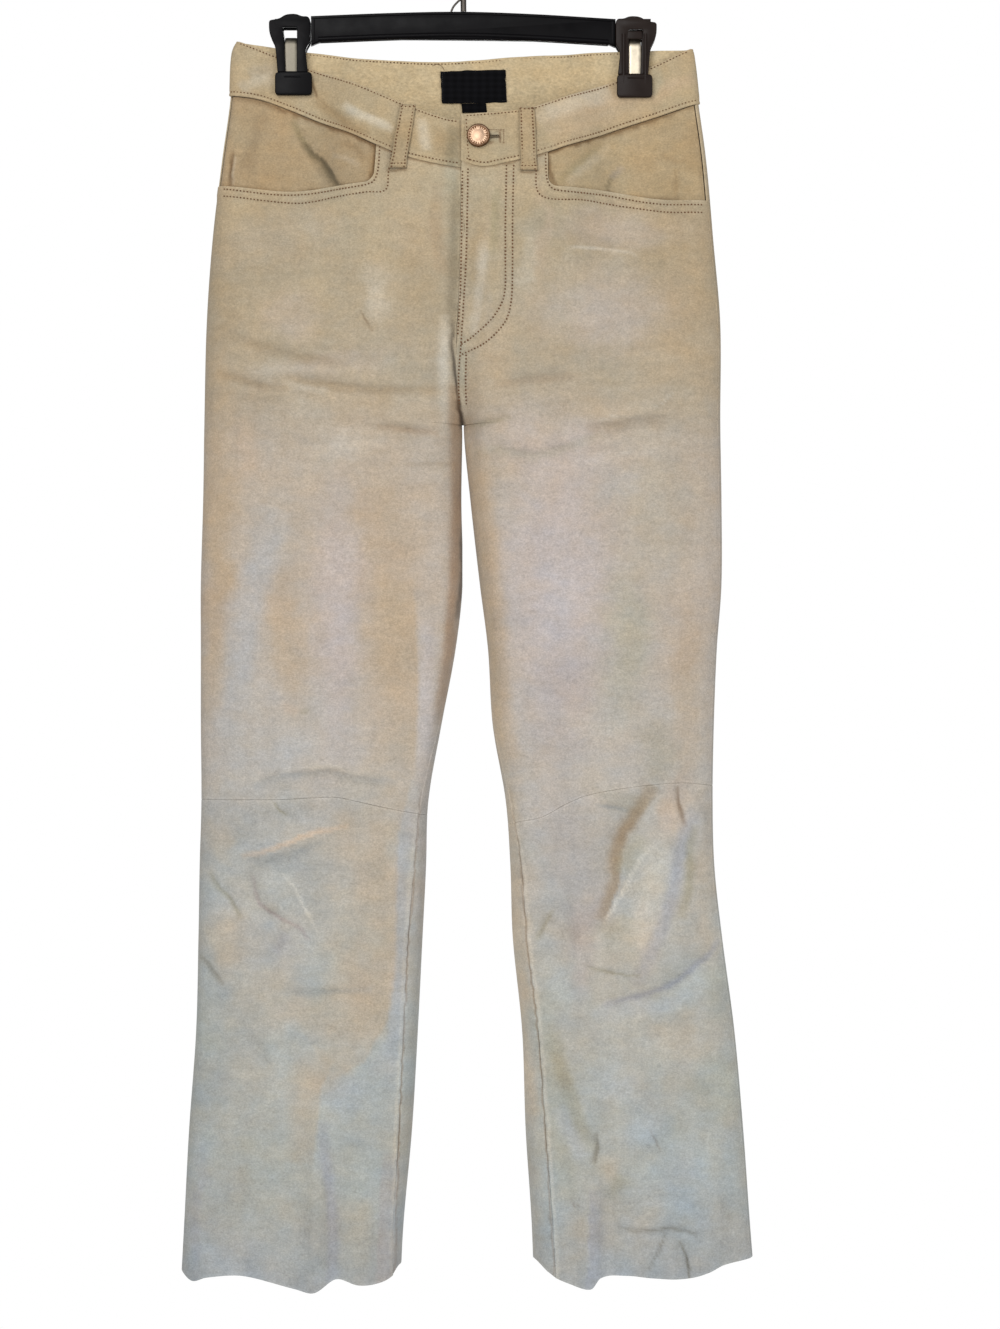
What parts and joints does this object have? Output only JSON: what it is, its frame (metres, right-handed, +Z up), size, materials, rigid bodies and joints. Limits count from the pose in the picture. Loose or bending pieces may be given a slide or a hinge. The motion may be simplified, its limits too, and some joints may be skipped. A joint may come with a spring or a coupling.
{
  "type": "bootcut pants on a clip hanger",
  "caption": "Low-rise suede bootcut pants with waistband, belt loops, one button, pocket hip pieces and knee seams, hanging open from a clip hanger.",
  "frame": {"origin": "inner top of the hanger's hook, where a rail or wall hook carries it", "axes": "+Z up, -Y the front of the pants, +X to the wearer's left"},
  "size_m": [0.485, 0.0768, 1.162],
  "materials": {
    "suede": "soft brushed nap, warm beige at the hips to blue-grey at the hems",
    "suede_inside": "rough flesh side",
    "label_cloth": "black satin weave, bare",
    "zip_tape": "plain twill tape",
    "copper": "copper-coloured, softly polished",
    "black_plastic": "moulded, satin",
    "spring_steel": "bright rolled strip",
    "dark_steel": "dark lacquered wire"
  },
  "bodies": {
    "root": {"right_front_upper": "suede", "right_hip_piece": "suede", "right_front_lower": "suede", "right_back_upper": "suede", "right_back_lower": "suede", "left_front_upper": "suede", "left_hip_piece": "suede", "left_front_lower": "suede", "left_back_upper": "suede", "left_back_lower": "suede", "waistband_front_right": "suede", "waistband_front_left": "suede", "waistband_back_right": "suede", "waistband_back_left": "suede", "belt_loop_front_right": "suede", "belt_loop_front_left": "suede", "belt_loop_back_right": "suede", "belt_loop_back_centre": "suede", "belt_loop_back_left": "suede", "waistband_back_facing": "suede_inside", "label": "label_cloth", "size_tag": "label_cloth", "fly_zip": "zip_tape", "button": "copper", "hanger_bar": "black_plastic", "hanger_hook": "dark_steel", "hook_strand": "dark_steel", "clip_right_front_jaw": "black_plastic", "clip_right_back_jaw": "black_plastic", "clip_right_core": "black_plastic", "clip_right_spring": "spring_steel", "clip_left_front_jaw": "black_plastic", "clip_left_back_jaw": "black_plastic", "clip_left_core": "black_plastic", "clip_left_spring": "spring_steel"}
  },
  "joints": []
}
